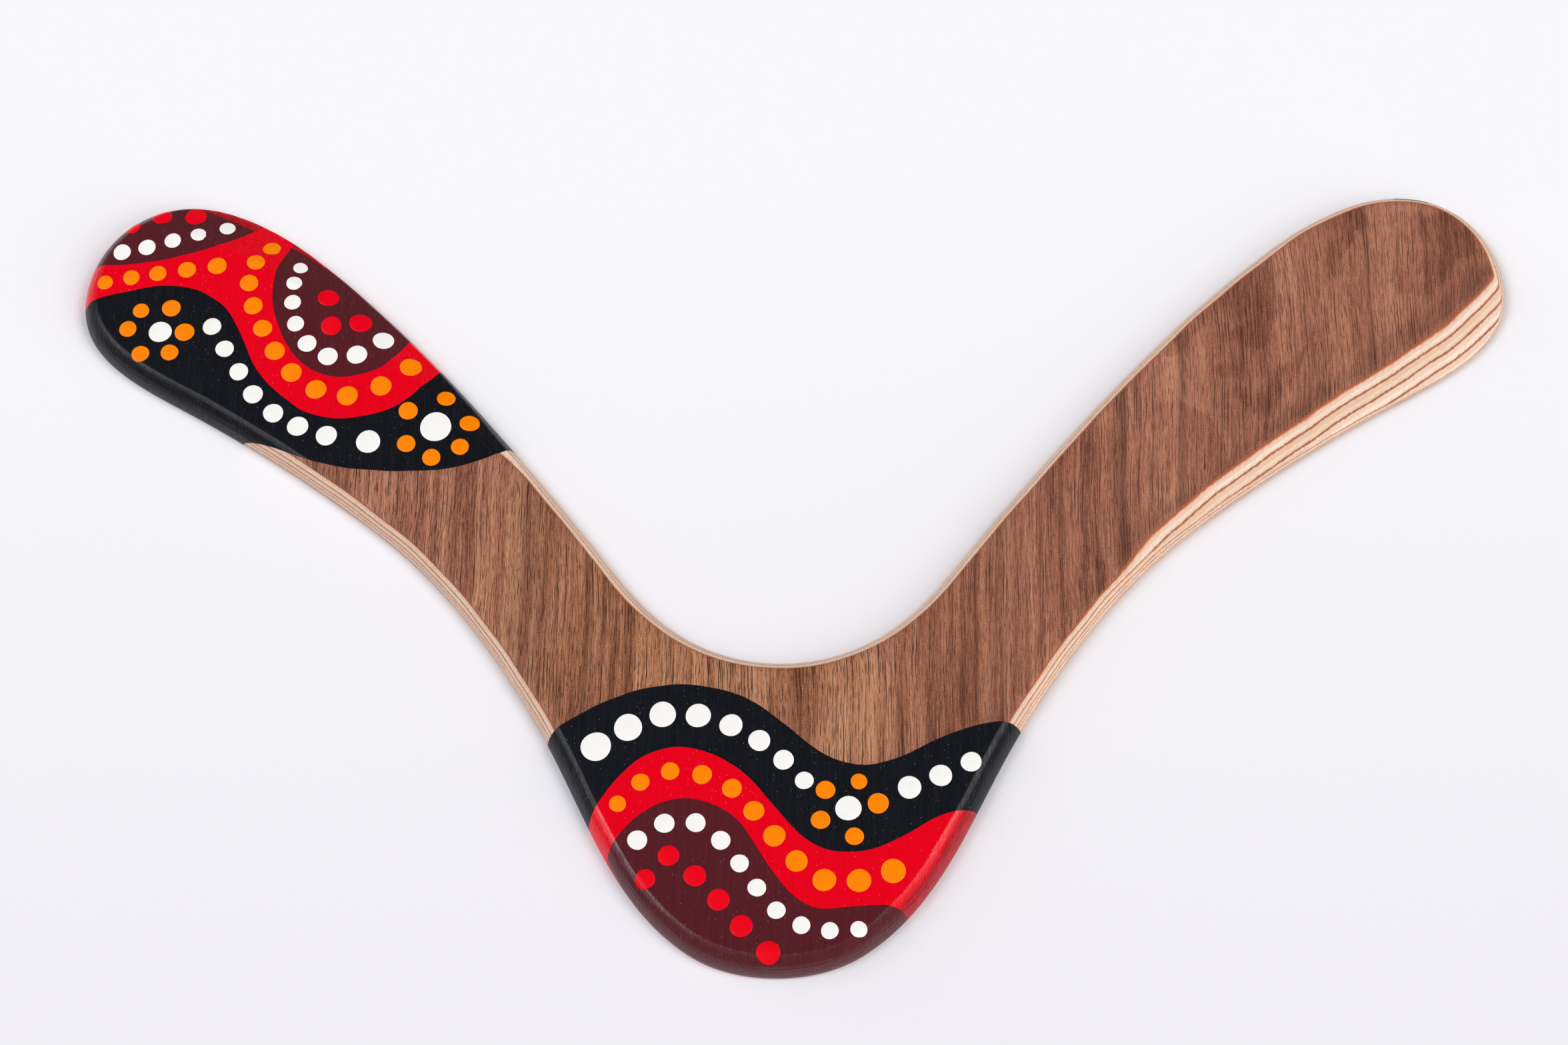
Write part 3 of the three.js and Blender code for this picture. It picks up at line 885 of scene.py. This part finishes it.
def dot(x, y, radius):
    """Points and faces of one raised dot, draped over the board."""
    turn = np.linspace(0, 2 * math.pi, DOT_SEGMENTS, endpoint=False)
    lean, skew = rng.uniform(0, 2 * math.pi, 2)
    wobble = 1 + 0.014 * np.cos(2 * turn + lean) + 0.012 * np.cos(3 * turn + skew)
    radii = radius * rng.uniform(0.98, 1.03) * wobble
    circle = np.stack([np.cos(turn) * radii, np.sin(turn) * radii], -1)
    points, lifts = [], []
    for share, lift in [(1, -DOT_SINK), (1, 0.0)] + [(q, None) for q in DOT_RINGS]:
        rise = DOT_RISE * (1 - share**3) ** 0.6 if lift is None else lift
        points.append(circle * share + (x, y))
        lifts.append(np.full(DOT_SEGMENTS, rise))
    flat = np.vstack([*points, [(x, y)]])
    lift = np.r_[np.concatenate(lifts), DOT_RISE]
    film = max(PAINT_FILM.values()) + DOT_CLEARANCE
    height = top_height(flat) + np.where(lift < 0, lift, lift + film)
    rows = len(points)
    faces = grid_faces(rows, DOT_SEGMENTS)
    last = (rows - 1) * DOT_SEGMENTS
    tip = rows * DOT_SEGMENTS
    faces += [[last + i, last + (i + 1) % DOT_SEGMENTS, tip] for i in range(DOT_SEGMENTS)]
    faces.append(list(range(DOT_SEGMENTS))[::-1])
    return np.column_stack([flat, height]), faces


def dots(name, colour, spots):
    """One piece of several dots: each spot is x, y, radius."""
    points, faces, count = [], [], 0
    for x, y, radius in spots:
        own, own_faces = dot(x, y, radius)
        points.append(own)
        faces += [[i + count for i in face] for face in own_faces]
        count += len(own)
    piece = new_mesh(name, np.vstack(points), faces, [DOTS[colour]], angle=DOT_SHARP_ANGLE)
    place(piece, f"{colour}_paint")


for name, (colour, knots, count, first, last, stretch) in DOT_ROWS.items():
    spots = evenly(trace(knots, DOT_ROW_STEP), count, stretch)
    spots += rng.normal(0, DOT_SCATTER, (count, 2))
    dots(name, colour, np.column_stack([spots, np.linspace(first, last, count)]))
for name, spots in LONE_DOTS.items():
    dots(name, spots[0][0], [spot[1:] for spot in spots])
for name, (centre, radius, (ring_x, ring_y), reach, petals) in ROSETTES.items():
    dots(f"{name}_centre", "white", [(*centre, radius)])
    spots = []
    for angle, petal in petals:
        turn = math.radians(angle)
        spots.append((ring_x + reach * math.cos(turn), ring_y + reach * math.sin(turn), petal))
    dots(f"{name}_petals", "orange", spots)

# ======================================================================= floor, light, camera
FLOOR_HALF = 20000
FLOOR_DROP = 0.02
floor_mesh = bpy.data.meshes.new("floor")
floor_corners = [
    (x * FLOOR_HALF * MM, y * FLOOR_HALF * MM, -FLOOR_DROP * MM)
    for x, y in ((-1, -1), (1, -1), (1, 1), (-1, 1))]
floor_mesh.from_pydata(floor_corners, [], [(0, 1, 2, 3)])
floor = bpy.data.objects.new("floor", floor_mesh)
bpy.context.scene.collection.objects.link(floor)
paper = Tree("paper")
tooth = paper.noise(paper.mm, (1.5, 1.5, 1.5), 3, 0.6)
# Painted shade: the paper is darker towards the camera and lighter away from it, standing in for
# the light falling off across the floor.
painted_falloff = paper.between(paper.axes(paper.mm)[1], -170, 130)
paper_colour = paper.mix(painted_falloff, srgb(240, 239, 244), srgb(248, 248, 251))
floor_mesh.materials.append(paper.finish(paper_colour, 0.9, paper.bump(tooth, 0.05, 0.1), 0.05))

world = bpy.data.worlds.new("studio")
bpy.context.scene.world = world
world.use_nodes = True
sky = world.node_tree.nodes["Background"]
sky.inputs["Color"].default_value = srgb(246, 247, 255)
sky.inputs["Strength"].default_value = 0.03


def soft_sun(name, towards, spread, strength, colour, glints=True):
    """A large even light at infinity, seen from the object in one direction.

    Without glints it fills the shadows but doesn't show in gloss.
    """
    lamp = bpy.data.lights.new(name, "SUN")
    lamp.angle = math.radians(spread)
    lamp.energy = strength
    lamp.color = colour[:3]
    obj = bpy.data.objects.new(name, lamp)
    obj.rotation_euler = Vector(towards).to_track_quat("Z", "Y").to_euler()
    obj.visible_glossy = glints
    bpy.context.scene.collection.objects.link(obj)


soft_sun("strobe_right", (0.62, 0.1, 0.8), 26, 0.97, srgb(255, 252, 249))
soft_sun("strobe_left", (-0.62, 0.05, 0.8), 26, 0.82, srgb(250, 251, 255))
soft_sun("low_right", (0.8, -0.45, 0.42), 50, 1.82, srgb(255, 252, 250), False)
soft_sun("low_left", (-0.75, 0.4, 0.5), 55, 1.12, srgb(250, 250, 255), False)
soft_sun("low_front", (-0.4, -0.8, 0.5), 60, 0.5, srgb(252, 252, 255), False)
soft_sun("sheen_left", (-0.42, -0.25, 0.86), 50, 0.2, srgb(252, 252, 255))

CAMERA_AT = Vector((0.0475, -0.3797, 0.8690))
LOOK_AT = Vector((0.0, 0.01546, 0.0))
CAMERA_ROLL = math.radians(-6.477)
camera = bpy.data.objects.new("camera", bpy.data.cameras.new("camera"))
camera.data.lens = 79.33
camera.data.sensor_width = 36
camera.data.clip_start = 0.05
aim = (LOOK_AT - CAMERA_AT).to_track_quat("-Z", "Y")
camera.matrix_world = (
    Matrix.Translation(CAMERA_AT) @ aim.to_matrix().to_4x4() @ Matrix.Rotation(CAMERA_ROLL, 4, "Z"))
bpy.context.scene.collection.objects.link(camera)
bpy.context.scene.camera = camera
bpy.context.scene.view_settings.view_transform = "Standard"
